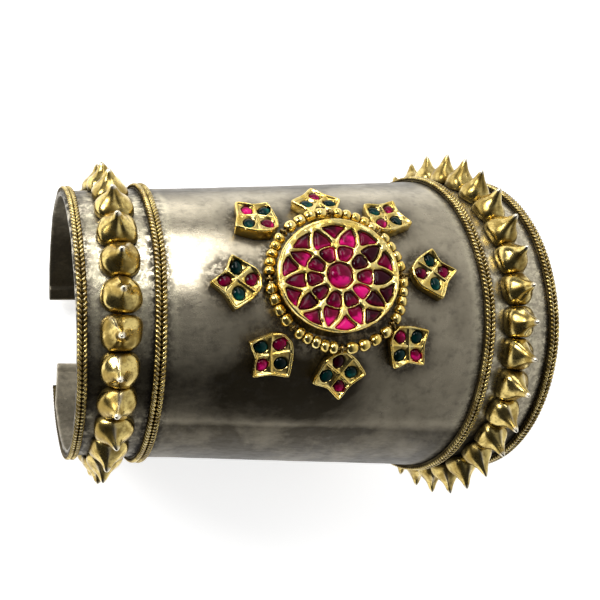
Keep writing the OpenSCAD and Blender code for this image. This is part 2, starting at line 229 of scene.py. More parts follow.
def capped_faces(rows, cols):
    """The same, closed at the first and at the last ring."""
    last = [(rows - 1) * cols + i for i in range(cols)]
    return ring_faces(rows, cols) + [list(range(cols))[::-1], last]


def turned_shell(profile, sides):
    """Points and faces of a profile [(r, z), ...] turned round Z, closed at both ends."""
    turn = np.arange(sides) * 2 * math.pi / sides
    points = [(r * math.cos(t), r * math.sin(t), z) for r, z in profile for t in turn]
    return np.array(points), capped_faces(len(profile), sides)


def chaikin(p, rounds, share=0.25):
    """A closed outline with its corners cut off at a share of each side."""
    for _ in range(rounds):
        q = np.roll(p, -1, axis=0)
        p = np.stack([(1 - share) * p + share * q, share * p + (1 - share) * q], 1).reshape(-1, 2)
    return p


def resampled(points, count):
    """A closed outline with its points spread evenly."""
    p = np.vstack([points, points[:1]])
    along = np.concatenate([[0], np.cumsum(np.linalg.norm(np.diff(p, axis=0), axis=1))])
    want = np.linspace(0, along[-1], count, endpoint=False)
    return np.stack([np.interp(want, along, p[:, k]) for k in (0, 1)], 1)


def outward(loop):
    """Unit vectors out of an anticlockwise outline, at its points."""
    t = np.roll(loop, -1, axis=0) - np.roll(loop, 1, axis=0)
    n = np.stack([t[:, 1], -t[:, 0]], 1)
    return n / np.linalg.norm(n, axis=1, keepdims=True)


def loop_distance(points, loop):
    """Distance from each point to an outline, below zero inside it."""
    p = points[:, None]
    a, b = loop[None], np.roll(loop, -1, axis=0)[None]
    ab = b - a
    share = np.clip(((p - a) * ab).sum(-1) / np.maximum((ab * ab).sum(-1), 1e-12), 0, 1)
    gap = np.linalg.norm(p - a - share[..., None] * ab, axis=-1).min(1)
    above = (a[..., 1] > p[..., 1]) != (b[..., 1] > p[..., 1])
    run = np.where(np.abs(ab[..., 1]) < 1e-12, 1e-12, ab[..., 1])
    cross = p[..., 0] < ab[..., 0] * (p[..., 1] - a[..., 1]) / run + a[..., 0]
    inside = (above & cross).sum(1) % 2 == 1
    return np.where(inside, -gap, gap)


def nearest(points, loops):
    """Distance from each point to the nearest of some outlines, below zero inside one."""
    return np.min([loop_distance(points, loop) for loop in loops], axis=0)


def lifted(plan, z):
    """The points of a plan at one height, or each at its own."""
    return np.column_stack([plan, np.broadcast_to(z, len(plan))])


def plate(outline, holes, height, spacing, hole_rings, edge_rings):
    """Triangles of a plate with holes; height(hole distance, edge distance, places) gives its shape.

    hole_rings and edge_rings are the distances at which outlines are laid, so that the
    ridges round the holes and along the edge are crisp.
    """
    loops = [outline] + [outline - outward(outline) * d for d in edge_rings]
    for hole in holes:
        loops += [hole] + [hole + outward(hole) * d for d in hole_rings]
    points, edges = [], []
    for loop in loops:
        start = len(points)
        points += [Vector(p) for p in loop.tolist()]
        edges += [(start + i, start + (i + 1) % len(loop)) for i in range(len(loop))]
    low, high = outline.min(0), outline.max(0)
    xs = np.arange(low[0], high[0], spacing)
    ys = np.arange(low[1], high[1], spacing * 0.866)
    inner = np.array([(x + (j % 2) * spacing / 2, y) for j, y in enumerate(ys) for x in xs])
    edge = -loop_distance(inner, outline)
    near = nearest(inner, holes)
    keep = (edge > max(edge_rings) + spacing * 0.4) & (near > max(hole_rings) + spacing * 0.4)
    points += [Vector(p) for p in inner[keep].tolist()]
    flat, _, tris, *_ = delaunay_2d_cdt(points, edges, [], 0, 1e-5)
    flat = np.array([tuple(p) for p in flat])
    tris = np.array([list(t) for t in tris])
    mid = flat[tris].mean(1)
    tris = tris[(loop_distance(mid, outline) < 0) & (nearest(mid, holes) > 0)]
    edge = np.maximum(-loop_distance(flat, outline), 0)
    near = np.maximum(nearest(flat, holes), 0)
    z = height(near, edge, flat)
    used, tris = np.unique(tris, return_inverse=True)
    tris = tris.reshape(-1, 3)
    flat, z = flat[used], z[used]
    a, b, c = flat[tris[:, 0]], flat[tris[:, 1]], flat[tris[:, 2]]
    turn = (b - a)[:, 0] * (c - a)[:, 1] - (b - a)[:, 1] * (c - a)[:, 0]
    tris = np.where((turn < 0)[:, None], tris[:, ::-1], tris)
    return lifted(flat, z), tris.tolist()


def add_cell(parts, loop, tops, floor):
    """A stone's cell: its wall, from the heights tops down, and its floor, both darkened as painted
    shade.
    """
    low = lifted(loop, floor)
    parts.add(np.concatenate([lifted(loop, tops), low]), ring_faces(2, len(loop)), recess=0.8)
    parts.add(low, [list(range(len(loop)))], recess=0.6)


def wobble(points, size, scale, seed):
    """Smooth random shift for each point, the same each run."""
    shift = Vector((seed * 13.7, seed * 5.1, seed * 9.3))
    return np.array([noise.noise(Vector(tuple(p)) * scale + shift) * size for p in points])


def uneven(plan, size, scale, seed):
    """Smooth random height for each point of a plan."""
    return wobble(lifted(plan, 0.0), size, scale, seed)


def grade(gap, width):
    """From 0 to 1 where gap goes from 0 to width."""
    return np.clip(gap / width, 0, 1)


def bell(gap, width, power=2):
    """1 where gap is 0, and next to nothing beyond twice the width."""
    return np.exp(-(gap / width) ** power)


# Materials

def new_material(name, metallic, roughness):
    """A material, with short calls for its nodes and with its shader."""
    material = bpy.data.materials.new(name)
    material.use_nodes = True
    shader = material.node_tree.nodes["Principled BSDF"]
    shader.inputs["Metallic"].default_value = metallic
    shader.inputs["Roughness"].default_value = roughness
    return material, Nodes(material.node_tree), shader


class Nodes:
    """Short calls for the nodes of one material."""

    def __init__(self, tree):
        self.tree = tree
        self.coords = tree.nodes.new("ShaderNodeTexCoord").outputs["Object"]

    def link(self, value, socket):
        if isinstance(value, bpy.types.NodeSocket):
            self.tree.links.new(value, socket)
        else:
            socket.default_value = value

    def new(self, kind, inputs):
        """A node with a value or a link in each of the named inputs."""
        node = self.tree.nodes.new("ShaderNode" + kind)
        for key, value in inputs.items():
            self.link(value, node.inputs[key])
        return node

    def value(self, name):
        node = self.new("Attribute", {})
        node.attribute_name = name
        return node.outputs["Fac"]

    def noise(self, scale, detail, rough=0.55, stretch=(1, 1, 1), warp=0.0):
        """Noise with scale features per metre."""
        mapping = self.new("Mapping", {"Scale": stretch, "Vector": self.coords})
        place = mapping.outputs["Vector"]
        node = self.new("TexNoise", {"Scale": scale, "Detail": detail, "Roughness": rough,
                                     "Distortion": warp, "Vector": place})
        return node.outputs["Fac"]

    def ramp(self, value, low, high, to_low=0.0, to_high=1.0):
        node = self.new("MapRange", {"Value": value, "From Min": low, "From Max": high,
                                     "To Min": to_low, "To Max": to_high})
        node.interpolation_type = "SMOOTHSTEP"
        return node.outputs["Result"]

    def math(self, operation, a, b, clamp=False):
        node = self.new("Math", {0: a, 1: b})
        node.operation = operation
        node.use_clamp = clamp
        return node.outputs["Value"]

    def mix(self, share, a, b):
        node = self.new("Mix", {"Factor": share})
        node.data_type = "RGBA"
        for value, key in ((a, "A"), (b, "B")):
            socket = next(s for s in node.inputs if s.name == key and s.type == "RGBA")
            self.link((*value, 1) if isinstance(value, tuple) else value, socket)
        return next(s for s in node.outputs if s.type == "RGBA")

    def bump(self, value, strength, distance, before=None):
        node = self.new("Bump", {"Strength": strength, "Distance": distance, "Height": value})
        if before is not None:
            self.link(before, node.inputs["Normal"])
        return node.outputs["Normal"]


def silver_material():
    """Worn silver: cloudy tarnishing, dirt and traces of gilding by the ornaments, scratches, pits, with
    painted shade by the ornaments, in a band and on the flanks, and painted light inside the near flap.
    """
    material, n, shader = new_material("silver", 1.0, 0.25)
    cloud = n.noise(60, 6, 0.65, warp=0.25)
    fine = n.noise(420, 5, 0.65)
    scratch = n.noise(1300, 3, 0.6, stretch=(0.25, 1, 1))
    pits = n.noise(1500, 3, 0.7)
    # How dull and dark the silver is: tarnishing and painted shade together
    dull = n.math("ADD", n.value("tarnish_and_shade"), n.ramp(cloud, 0.3, 0.7, -0.15, 0.15), clamp=True)
    tone = n.mix(dull, (0.71, 0.63, 0.47), (0.054, 0.044, 0.027))
    tone = n.mix(n.ramp(fine, 0.46, 0.75, 0, 0.45), tone, (0.09, 0.08, 0.065))
    gilding = n.math("MULTIPLY", n.value("gilding"), n.ramp(n.noise(520, 4, 0.7), 0.38, 0.52))
    tone = n.mix(gilding, tone, (0.95, 0.87, 0.62))
    # Dirt and painted shade by the ornaments, near black
    grime_and_shade = n.math("MULTIPLY", n.value("grime_and_shade"), n.ramp(n.noise(800, 4, 0.75), 0.40, 0.56))
    tone = n.mix(n.math("MINIMUM", grime_and_shade, 0.92), tone, (0.030, 0.025, 0.020))
    n.link(tone, shader.inputs["Base Color"])
    rough = n.ramp(dull, 0.0, 1.0, 0.23, 0.42)
    rough = n.math("ADD", rough, n.ramp(scratch, 0.4, 0.7, -0.03, 0.06))
    rough = n.math("ADD", rough, n.math("MULTIPLY", grime_and_shade, 0.3), clamp=True)
    n.link(rough, shader.inputs["Roughness"])
    # Painted light: the near flap's inside is less metallic, so it shows pale
    n.link(n.math("SUBTRACT", 1.0, n.value("pale")), shader.inputs["Metallic"])
    normal = n.bump(scratch, 0.12, 0.00005)
    normal = n.bump(pits, 0.15, 0.00008, normal)
    normal = n.bump(n.noise(130, 3, 0.5), 0.22, 0.0003, normal)
    n.link(normal, shader.inputs["Normal"])
    return material


def gilt_material():
    """Old gilding on silver: brassy, with dark brown painted shade in the recesses, worn to silver on the
    high points.
    """
    material, n, shader = new_material("gilt", 1.0, 0.3)
    blotch = n.noise(260, 4, 0.6, warp=0.5)
    fine = n.noise(1400, 4, 0.65)
    tone = n.mix(n.ramp(blotch, 0.40, 0.60), (0.76, 0.59, 0.21), (0.36, 0.25, 0.065))
    tone = n.mix(n.ramp(fine, 0.46, 0.70, 0, 0.65), tone, (0.20, 0.13, 0.035))
    wear = n.math("MULTIPLY", n.value("wear"), n.ramp(n.noise(700, 3), 0.3, 0.6, 0.5, 1))
    tone = n.mix(wear, tone, (0.88, 0.83, 0.70))
    # Painted shade in the recesses
    tone = n.mix(n.value("recess"), tone, (0.030, 0.021, 0.012))
    n.link(tone, shader.inputs["Base Color"])
    rough = n.ramp(blotch, 0.3, 0.7, 0.15, 0.34)
    rough = n.math("ADD", rough, n.math("MULTIPLY", n.value("recess"), 0.4), clamp=True)
    n.link(rough, shader.inputs["Roughness"])
    normal = n.bump(n.noise(900, 3, 0.6), 0.25, 0.0001)
    n.link(normal, shader.inputs["Normal"])
    return material


def gold_material(name, light, deep):
    """Burnished high-carat foil, hand-pressed, with painted shade in its hollows."""
    material, n, shader = new_material(name, 1.0, 0.2)
    blotch = n.noise(420, 4, 0.6)
    tone = n.mix(n.ramp(blotch, 0.35, 0.65), light, deep)
    tone = n.mix(n.ramp(n.noise(1600, 4, 0.7), 0.54, 0.72, 0, 0.6), tone, tuple(0.45 * c for c in deep))
    # Painted shade in the hollows
    tone = n.mix(n.value("recess"), tone, (0.11, 0.05, 0.008))
    n.link(tone, shader.inputs["Base Color"])
    n.link(n.ramp(blotch, 0.3, 0.7, 0.14, 0.27), shader.inputs["Roughness"])
    normal = n.bump(n.noise(1100, 2, 0.5), 0.35, 0.00014)
    normal = n.bump(n.noise(3200, 2, 0.5), 0.12, 0.00005, normal)
    n.link(normal, shader.inputs["Normal"])
    return material


def gem_material(name, dark, mid, bright):
    """A foil-backed stone with painted light: a gradient across it from dark to lit, under a faint sharp
    gloss.
    """
    material, n, shader = new_material(name, 0.0, 0.08)
    glow = n.math("ADD", n.value("glow"), n.ramp(n.noise(600, 2, 0.5), 0.25, 0.75, -0.24, 0.24))
    tone = n.mix(n.ramp(glow, 0.05, 0.6), dark, mid)
    tone = n.mix(n.ramp(glow, 0.62, 1.05), tone, bright)
    rim = n.new("LayerWeight", {"Blend": 0.35})
    tone = n.mix(n.ramp(rim.outputs["Facing"], 0.35, 1.0, 0, 0.6), tone, tuple(0.35 * c for c in dark))
    n.link(tone, shader.inputs["Base Color"])
    n.link(n.ramp(n.noise(2500, 2), 0.3, 0.7, 0.05, 0.13), shader.inputs["Roughness"])
    shader.inputs["IOR"].default_value = 1.55
    shader.inputs["Specular IOR Level"].default_value = 0.14
    normal = n.bump(n.noise(1500, 2, 0.5), 0.10, 0.0001)
    n.link(normal, shader.inputs["Normal"])
    return material


# The sheet

def sheet_values(at, ang):
    """How tarnished, grimy and gilded the outer face is at each place, from 0 to 1, with painted shade
    added to how tarnished and grimy it is.
    """
    r = surf_r(at)
    reach = np.hypot(np.radians(ang - MEDAL_ANG) * r, at - MEDAL_AT)
    # Duller from the wrist to the middle, and clean beyond the inner forearm braid
    tarnish_and_shade = 0.22 + 0.26 * grade(at - 22, 16) - 0.48 * grade(at - 84, 3)
    # Painted shade: a dark band on the -Y side, and its wider start at the wrist
    tarnish_and_shade += 0.62 * bell(ang + 31, 14.0, 4) * grade(64 - at, 16)
    tarnish_and_shade += 0.40 * bell(ang + 20, 15.0, 4) * grade(20 - at, 3)
    # Painted shade on the flanks and the underside, which darkens their reflection of the pale floor
    tarnish_and_shade = np.maximum(tarnish_and_shade, grade(-ang - 38, 8))
    tarnish_and_shade = np.maximum(tarnish_and_shade, 0.85 * grade(ang - 44, 22))
    tarnish_and_shade = np.maximum(tarnish_and_shade, 0.6 * grade(np.abs(ang) - 80, 60))
    # Near black grime by the braids, the studs, the medallion and the petals: dirt together with painted
    # shade where they meet the sheet
    grime_and_shade = np.zeros_like(r)
    gilding = np.zeros_like(r)
    for middle, rope, lean, _ in BRAIDS.values():
        side = np.abs(at - middle + math.tan(math.radians(lean)) * r * np.sin(np.radians(ang)))
        gap = np.maximum(side - rope, 0)
        grime_and_shade = np.maximum(grime_and_shade, bell(gap, 0.9))
        gilding = np.maximum(gilding, 0.6 * bell(gap - 1.2, 0.8))
    for middle, *_ in STUD_ROWS.values():
        gap = np.abs(at - middle)
        gilding = np.maximum(gilding, 0.8 * np.clip(1 - (gap - 4.2) / 2.4, 0, 1))
        grime_and_shade = np.maximum(grime_and_shade, 0.55 * bell(np.maximum(gap - 3.6, 0), 1.3))
        grime_and_shade = np.maximum(grime_and_shade, 0.34 * (gap < 7.5))
    grime_and_shade = np.maximum(grime_and_shade, 0.8 * bell(np.maximum(reach - 15, 0), 1.4))
    for place, angle, _ in PETALS:
        far = np.hypot(np.radians(ang - angle) * r, at - place)
        # Painted shade round each petal: more grime and duller silver
        grime_and_shade = np.maximum(grime_and_shade, 0.62 * bell(np.maximum(far - 5.2, 0), 1.1))
        tarnish_and_shade = tarnish_and_shade + 0.30 * bell(np.maximum(far - 5.0, 0), 2.4)
    gilding *= 1 - 0.9 * np.clip(tarnish_and_shade * 1.6 - 0.4, 0, 1)
    return np.clip(tarnish_and_shade, 0, 1), np.clip(grime_and_shade, 0, 1), np.clip(gilding, 0, 1)


def sheet_piece(material):
    """The tapered shell with rounded rims, folded hems, a slightly uneven face and a nicked rim."""
    sides, lengths = 420, 96
    ang = np.linspace(-NEAR_EDGE, FAR_EDGE, sides)
    around = np.radians(ang)
    round_at = np.array([0.02, 0.12, 0.3])
    at = np.concatenate([round_at, np.linspace(0.7, CUFF_LEN - 0.7, lengths), CUFF_LEN - round_at[::-1]])
    sink = np.zeros_like(at)
    sink[:3] = sink[-3:][::-1] = [0.3, 0.12, 0.02]
    A, T = np.meshgrid(ang, at, indexing="ij")
    circle = np.column_stack([np.cos(around), np.sin(around), 0 * ang])
    # The rims: the wrist rim is cut at a lean, the forearm rim is ragged and nicked
    y, z = WRIST_R * np.sin(around), WRIST_R * np.cos(around)
    low_z = WRIST_R * math.cos(math.radians(NEAR_EDGE))
    back = RIM_BACK - math.tan(math.radians(RIM_LEAN)) * y
    corner = CORNER_BACK - math.tan(math.radians(CORNER_LEAN)) * (z - low_z)
    back = np.where(y < 0, np.maximum(back, corner), back)
    back += 0.06 + 0.10 * wobble(circle * WRIST_R, 1.0, 0.2, 4)
    ragged = 0.22 + 0.22 * wobble(circle * FOREARM_R, 1.0, 0.22, 3)
    ragged += sum(depth * bell(ang - middle, width) for middle, width, depth in NICKS)
    near_wrist = np.clip(1 - T / 12, 0, 1)
    near_forearm = grade(T - CUFF_LEN + 1.4, 1.4)
    T = T + back[:, None] * near_wrist - ragged[:, None] * near_forearm
    # The dents: none by the braids and studs, weaker round the medallion
    low = polar(T * 0.35, A, surf_r(T))
    bulge = wobble(low.reshape(-1, 3), 1.0, 0.05, 1).reshape(A.shape)
    small = wobble(polar(T, A, surf_r(T)).reshape(-1, 3), 1.0, 0.16, 2).reshape(A.shape)
    free = grade(T - 19, 6) * grade(83 - T, 6)
    gap = np.hypot(np.radians(A - MEDAL_ANG) * surf_r(T), T - MEDAL_AT)
    free *= np.clip((gap - 28) / 10, 0.25, 1)
    outer_r = surf_r(T) - sink[None] - free * (0.10 + 0.16 * bulge + 0.06 * small)
    hem = grade(np.maximum(A - FAR_EDGE + FAR_HEM, -A - NEAR_EDGE + NEAR_HEM), 0.35)
    edge_gap = np.minimum(FAR_EDGE - A, A + NEAR_EDGE) * np.radians(1) * surf_r(T)
    rounding = 0.35 * np.clip(1 - edge_gap / 0.7, 0, 1) ** 2
    thick = SHEET_T + HEM_T * (hem * hem * (3 - 2 * hem))
    inner_r = surf_r(T) - thick + sink[None] * 0.8 + rounding
    inner_r += 0.10 * free * bulge * (1 - hem)
    outer_r = outer_r - rounding
    outer = polar(T, A, outer_r)
    inner = polar(T, A, inner_r)[:, ::-1]
    loops = np.concatenate([outer, inner], axis=1)
    cols = loops.shape[1]
    faces = ring_faces(sides, cols)
    half = cols // 2
    for row, flip in ((0, True), (sides - 1, False)):
        start = row * cols
        for j in range(half - 1):
            cap = (start + j, start + j + 1, start + cols - 2 - j, start + cols - 1 - j)
            faces.append(cap[::-1] if flip else cap)
    tarnish_and_shade, grime_and_shade, gilding = sheet_values(T, A)
    zero = np.zeros_like(T)
    # The inside is dull; the near flap's is kept clean and made less metallic so that it shows pale and
    # bright, painted light
    dull = np.interp(A, [-NEAR_EDGE, -120, 120, FAR_EDGE], [0.0, 0.6, 0.8, 0.8])[:, ::-1]
    pale = np.interp(A, [-NEAR_EDGE, -130], [0.9, 0.3])[:, ::-1] * (A[:, ::-1] < -90)
    values = {"tarnish_and_shade": np.concatenate([tarnish_and_shade, dull], 1).ravel(),
              "grime_and_shade": np.concatenate([grime_and_shade, zero + 0.30], 1).ravel(),
              "gilding": np.concatenate([gilding, zero], 1).ravel(),
              "pale": np.concatenate([zero, pale], 1).ravel()}
    make_piece("silver_sheet", loops.reshape(-1, 3), faces, REST, material,
               ["cuff_sheet"], values)


# The braids

def strand(path, normal, binormal, twist, rope, sides):
    """One strand of a two-strand rope laid along path, turned about it by the angles twist."""
    offset, radius = rope * 0.25, rope * 0.27
    arm = np.cos(twist)[:, None] * normal + np.sin(twist)[:, None] * binormal
    line = path + offset * arm
    tangent = np.gradient(line, axis=0)
    tangent /= np.linalg.norm(tangent, axis=1, keepdims=True)
    side = np.cross(tangent, arm)
    side /= np.linalg.norm(side, axis=1, keepdims=True)
    up = np.cross(side, tangent)
    spin = np.arange(sides) * 2 * math.pi / sides
    ring = (line[:, None] + radius * (np.cos(spin)[None, :, None] * up[:, None]
                                      + np.sin(spin)[None, :, None] * side[:, None]))
    out = ((ring - path[:, None]) * normal[:, None]).sum(-1) / (offset + radius)
    return ring.reshape(-1, 3), out.ravel()


def braid_piece(node, row, material):
    """Two ropes of opposite twist, side by side, on a narrow strip painted dark as their shade."""
    at, rope, lean, short = row
    parts = Parts()
    sides, rings_per_lay = 7, 12
    rise = slope(at)
    out_r = float(surf_r(at)) + CLEAR
    first, arc = -NEAR_EDGE + short + 0.6, FAR_EDGE + NEAR_EDGE - short - 1.2
    length = math.radians(arc) * out_r
    lays = round(length / ROPE_LAY)
    count = lays * rings_per_lay + 1
    share = np.linspace(0, 1, count)
    wander = wobble(np.column_stack([share * length, 0 * share, 0 * share]), 0.22, 0.06, at)
    ang = first + share * arc
    a = np.radians(ang)
    radial = np.stack([0 * a, np.sin(a), np.cos(a)], 1)
    axial = np.array([math.cos(rise), 0, 0]) + math.sin(rise) * radial
    normal = np.array([-math.sin(rise), 0, 0]) + math.cos(rise) * radial
    base = polar(at, ang, out_r)
    for side in (-1, 1):
        centre = base + axial * (side * rope * 0.485 + wander[:, None]) + normal * rope * 0.5
        for start in (0, math.pi):
            twist = start + side * 2 * math.pi * lays * share
            points, out = strand(centre, normal, axial, twist, rope, sides)
            faces = ring_faces(count, sides)
            faces.append(list(range(sides)))
            faces.append([(count - 1) * sides + i for i in range(sides)][::-1])
            # Painted shade on the strands' lower sides, wear on their crests
            parts.add(points, faces, recess=np.clip((0.58 - out) / 0.36, 0, 0.9),
                      wear=np.clip((out - 0.84) * 4, 0, 0.6))
    step = slice(None, None, 4)
    foot, shoulder = 0.97 * rope, 0.92 * rope
    corners = [(-foot, 0.0), (-shoulder, 0.3), (0.0, 0.42), (shoulder, 0.3), (foot, 0.0)]
    bed = np.stack([base[step] + (axial[step] * (x + wander[step, None])) + normal[step] * z
                    for x, z in corners], 1)
    rows = len(bed)
    faces = [f[::-1] for f in capped_faces(rows, len(corners))]
    # The strip under the ropes, painted dark as shade
    parts.add(bed.reshape(-1, 3), faces, recess=0.9, wear=0.0)
    points, faces, values = parts.done()
    matrix = REST @ leaning(at, lean)
    make_piece(node + "_ropes", points, faces, matrix, material, [node], values)


# The studs: share of the radius, share of the height
STUD_PROFILE = [(0.98, 0.0), (1.0, 0.07), (1.0, 0.15), (0.985, 0.21), (0.95, 0.27), (0.895, 0.33),
                (0.815, 0.39), (0.715, 0.45), (0.605, 0.51), (0.50, 0.575), (0.405, 0.645), (0.325, 0.72),
                (0.26, 0.795), (0.205, 0.865), (0.155, 0.92), (0.11, 0.96), (0.06, 0.99), (0.015, 1.0)]
STUD_SIDES = 56


def stud_shell(at, ang, high, wide, half_pitch, seed):
    """One pressed stud, squarish at its foot, with a ridge and a furrow on opposite flanks."""
    pick = np.random.default_rng(seed)
    turn = np.arange(STUD_SIDES) * 2 * math.pi / STUD_SIDES
    square = 2.4 + pick.uniform(0, 0.9)
    foot = (np.abs(np.cos(turn)) ** square + np.abs(np.sin(turn)) ** square) ** (-1 / square)
    egg = 0.04 * np.cos(2 * turn + pick.uniform(0, 6.3))
    trefoil = 0.03 * np.cos(3 * turn + pick.uniform(0, 6.3))
    foot = foot * (1 + egg + trefoil)
    ridge_at = math.pi / 2 + pick.normal(0, 0.35)
    furrow_at = -math.pi / 2 + pick.normal(0, 0.3)
    bump_at = pick.uniform(0, 2 * math.pi, 3)

    def towards(middle, width):
        gap = (turn - middle + math.pi) % (2 * math.pi) - math.pi
        return bell(gap, width)

    lean = pick.normal(0, 0.22, 2)
    ridge, furrow = pick.uniform(0.08, 0.20), pick.uniform(0.04, 0.20)
    points, wear, recess = [], [], []
    for share, level in STUD_PROFILE:
        flank = math.exp(-((level - 0.55) / 0.24) ** 2)
        shape = 1 + (foot - 1) * max(0.0, 1 - level * 1.5)
        shape = shape + flank * (ridge * towards(ridge_at, 0.20) - furrow * towards(furrow_at, 0.26))
        shape = shape + flank * sum(0.06 * towards(b, 0.5) for b in bump_at)
        x = wide * share * shape * np.cos(turn) + lean[0] * level ** 2
        y = 1.10 * STUD_R * share * shape * np.sin(turn)
        y = np.clip(y, -half_pitch, half_pitch) + lean[1] * level ** 2
        z = np.full(STUD_SIDES, STUD_FOOT + (high - STUD_FOOT) * level)
        points.append(np.stack([x, y, z], 1))
        tip = min(1, max(0, (level - 0.87) / 0.08))
        wear.append(tip + 0.5 * flank * towards(ridge_at, 0.13))
        # Painted shade at the stud's foot, in its furrow and on the sides where it meets its neighbours
        dark = 0.9 - level * 3.6 + 0.6 * flank * towards(furrow_at, 0.2)
        recess.append(np.clip(dark - 0.2 * np.abs(np.cos(turn)), 0, 0.95))
    shell = np.concatenate(points)
    dent = wobble(shell, 0.20, 0.42, seed)
    middle = np.hypot(shell[:, 0], shell[:, 1])
    shell[:, :2] *= (1 + dent / np.maximum(middle, 1.4))[:, None]
    shell[:, 1] = np.clip(shell[:, 1], -half_pitch - 0.3, half_pitch + 0.3)
    shell = moved(shell, REST.inverted() @ on_cuff(at, ang))
    faces = capped_faces(len(STUD_PROFILE), STUD_SIDES)
    return shell, faces, np.clip(np.concatenate(wear), 0, 1), np.concatenate(recess)


def stud_row_piece(node, row, material):
    """A row of studs round the cuff, its middle shifted a little to one side."""
    at, count, step, high, drift, wide = row
    parts = Parts()
    half = step * (count - 1) / 2
    half_pitch = math.radians(step) * float(surf_r(at)) / 2 + 0.03
    for i in range(count):
        even = -half + i * step
        ang = even - drift * min(1, 2 - 2 * abs(even) / half)
        shell, faces, wear, recess = stud_shell(at, ang, high, wide, half_pitch, 100 * count + i)
        parts.add(shell, faces, wear=wear, recess=recess)
    points, faces, values = parts.done()
    make_piece(node + "_pressed", points, faces, REST, material, [node], values)


# The medallion and the petals. Cell corners: distance from the middle, angle from the cell's line
INNER_CELL = [(3.7, 0), (3.8, -9), (4.6, -12.6), (5.5, -13.8), (6.3, -13.6), (6.85, -10), (6.95, -3),
              (6.7, 0), (6.95, 3), (6.85, 10), (6.3, 13.6), (5.5, 13.8), (4.6, 12.6), (3.8, 9)]
MIDDLE_CELL = [(7.5, 0), (7.4, -11.5), (8.4, -10.6), (9.3, -8.3), (10.4, -4.2), (11.45, 0), (10.4, 4.2),
               (9.3, 8.3), (8.4, 10.6), (7.4, 11.5)]
RIM_CELL = [(8.75, 0), (9.5, -3), (10.5, -7.2), (11.55, -12), (11.85, 0), (11.55, 12), (10.5, 7.2),
            (9.5, 3)]
PETAL_OUTLINE = [(5.6, 0), (2.6, 2.5), (1.0, 5.8), (-2.75, 3.65), (-4.7, 1.5), (-4.85, -0.7),
                 (-3.7, -2.6), (0.9, -5.8), (2.5, -2.2)]
# The petal's raised lines run from its middle to these notches
PETAL_NOTCHES = [(2.4, 2.2), (-3.3, 2.9), (-3.3, -2.7), (2.4, -2.1)]
# Middle of each stone, its length and width
PETAL_STONES = {"ruby_in": (-2.75, 0.05, 2.7, 2.5), "ruby_out": (2.55, 0.0, 2.7, 2.3),
                "emerald_left": (0.0, -2.55, 2.5, 2.8), "emerald_right": (0.0, 2.7, 2.5, 2.8)}


def on_oval(points):
    """Points of the round design on the oval top: pressed together across the oval's long line."""
    line = np.array([math.cos(math.radians(MEDAL_TURN)), math.sin(math.radians(MEDAL_TURN))])
    across = np.array([-line[1], line[0]])
    p = np.asarray(points, float)
    return np.outer(p @ line, line) + np.outer(p @ across, across) * MEDAL_SQUEEZE + MEDAL_SHIFT


def cell_loop(rows, place, soft, seed):
    """An uneven outline of a cell of the tracery; place is its turn and width, soft rounds it."""
    pick = np.random.default_rng(seed)
    turn, width = place
    r = np.array([row[0] for row in rows])
    a = np.radians(turn + width * np.array([row[1] for row in rows]) + pick.normal(0, 0.5))
    p = np.stack([r * np.cos(a), r * np.sin(a) - TRACERY_DROP], 1)
    p += pick.normal(0, 0.06, p.shape)
    return resampled(chaikin(chaikin(on_oval(p), 1, soft), 1), 36)


def lerp_profile(table):
    """A function of distance, through the rows (distance, height) of a table."""
    d, z = np.array(table).T
    return lambda x: np.interp(x, d, z)


def stone_shell(loop, table, light, floor):
    """A stone with the outline loop; a table row is a share of the outline and its height."""
    mid = loop.mean(0)
    rows = [lifted(loop, floor)] + [lifted(mid + (loop - mid) * share, z) for share, z in table]
    points = np.concatenate(rows)
    faces = capped_faces(len(rows), len(loop))
    span = np.linalg.norm(loop - mid, axis=1).max()
    # Painted light: brighter on the side towards the light
    glow = 0.5 - 0.5 * ((points[:, :2] - mid) / span) @ light
    return points, faces, glow


# Stones from the girdle to the middle: share of the outline, height
DOME = [(1.0, -0.4), (0.985, -0.05), (0.93, 0.28), (0.84, 0.52), (0.70, 0.72), (0.52, 0.88),
        (0.32, 0.97), (0.12, 1.0)]
CABOCHON = [(1.0, -0.45), (0.97, -0.16), (0.88, 0.04), (0.74, 0.18), (0.55, 0.28), (0.33, 0.34),
            (0.12, 0.36)]
CUT = [(1.0, -0.40), (0.985, -0.22), (0.80, -0.02), (0.60, 0.03), (0.25, 0.05)]

# How far the painted light on each stone of the medallion is raised or lowered, from the first spoke
# round
INNER_TONES = (-0.5, 0.1, 0.0, -0.1, -0.1, -0.3, -0.1, -0.3, 0.6, 0.15)
MIDDLE_TONES = (-0.75, 0.35, 0.0, 0.1, 0.0, -0.3, 0.15, 0.25, -0.35, -0.75)
RIM_TONES = (-0.1, 0.05, -0.1, -0.1, 0.0, -0.05, 0.0, 0.5, -0.45, -0.5)


def stones_piece(name, node, loops, table, matrix, top, material, tones):
    """Stones for a list of outlines, with painted light across each; tones says how much brighter or
    darker each one is.
    """
    local = np.array(matrix.to_3x3().normalized().inverted()) @ np.array(STONE_LIGHT)
    light = local[:2] / np.linalg.norm(local[:2])
    parts = Parts()
    for i, loop in enumerate(loops):
        pick = np.random.default_rng(len(name) * 31 + i)
        a = pick.normal(0, 0.5)
        c, s = math.cos(a), math.sin(a)
        glint = (light[0] * c - light[1] * s, light[0] * s + light[1] * c)
        rise = top + pick.normal(0, 0.04)
        rows = [(share, rise + z) for share, z in table]
        shell, faces, glow = stone_shell(loop - outward(loop) * 0.03, rows, glint, top - 1.0)
        parts.add(shell, faces, glow=glow + tones[i])
    points, faces, values = parts.done()
    make_piece(name, points, faces, matrix, material, [node], values)


